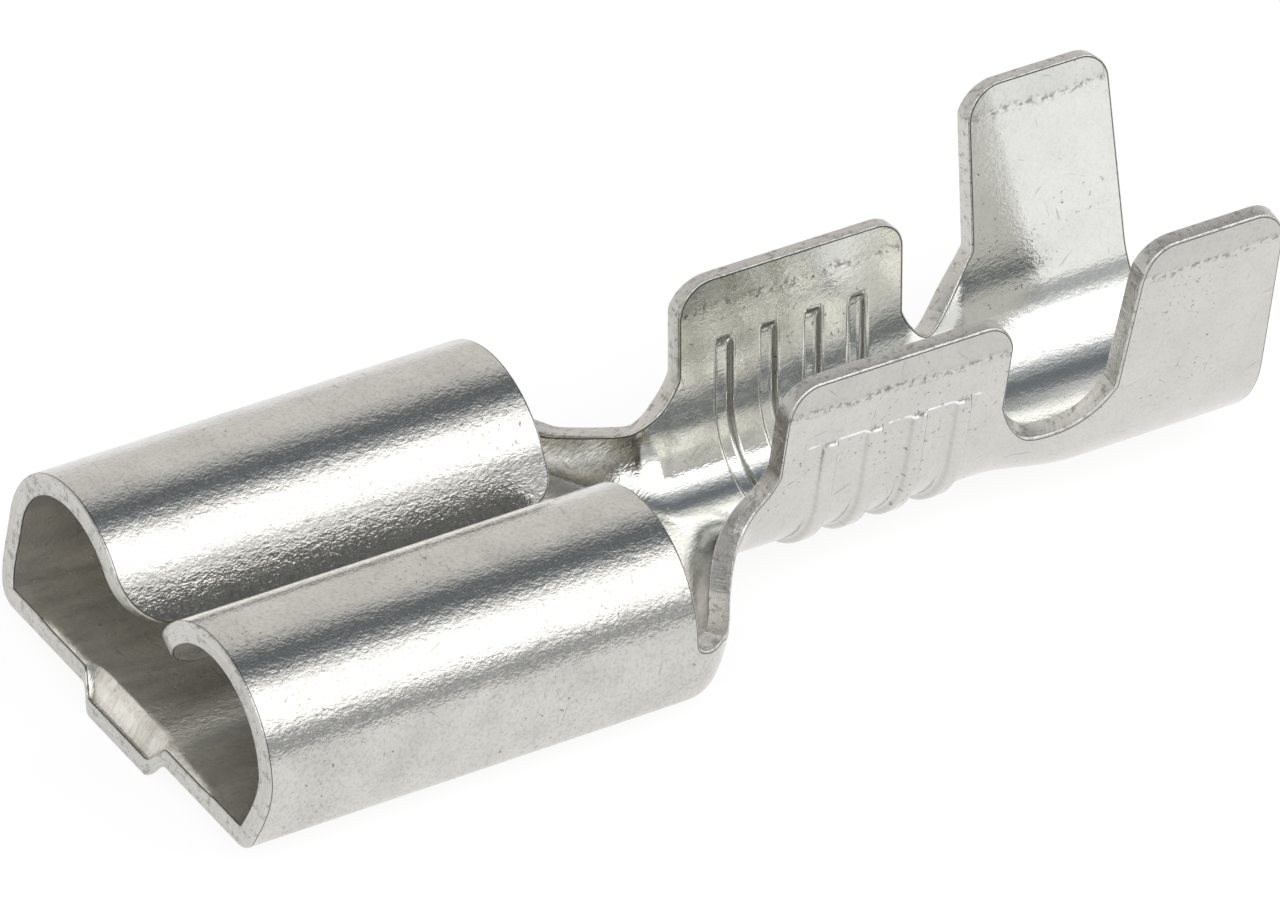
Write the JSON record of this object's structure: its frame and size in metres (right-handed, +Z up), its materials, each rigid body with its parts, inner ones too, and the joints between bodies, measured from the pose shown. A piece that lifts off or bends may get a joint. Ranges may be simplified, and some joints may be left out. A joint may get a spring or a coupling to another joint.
{
  "type": "female spade terminal",
  "caption": "Uninsulated female spade terminal, folded from one tin-plated sheet: a curled tab receptacle, an open wire barrel and a taller open insulation barrel.",
  "frame": {"origin": "centre of the bounding box's underside, on the surface that the part lies on", "axes": "+Y runs along the part from the mouth to the insulation barrel, +Z up out of the open barrels, X across"},
  "size_m": [0.0078, 0.0194, 0.0052],
  "materials": {
    "tin_plate": "bright tin plate over brass, with fine handling scratches"
  },
  "bodies": {
    "root": {"terminal": "tin_plate"}
  },
  "joints": []
}
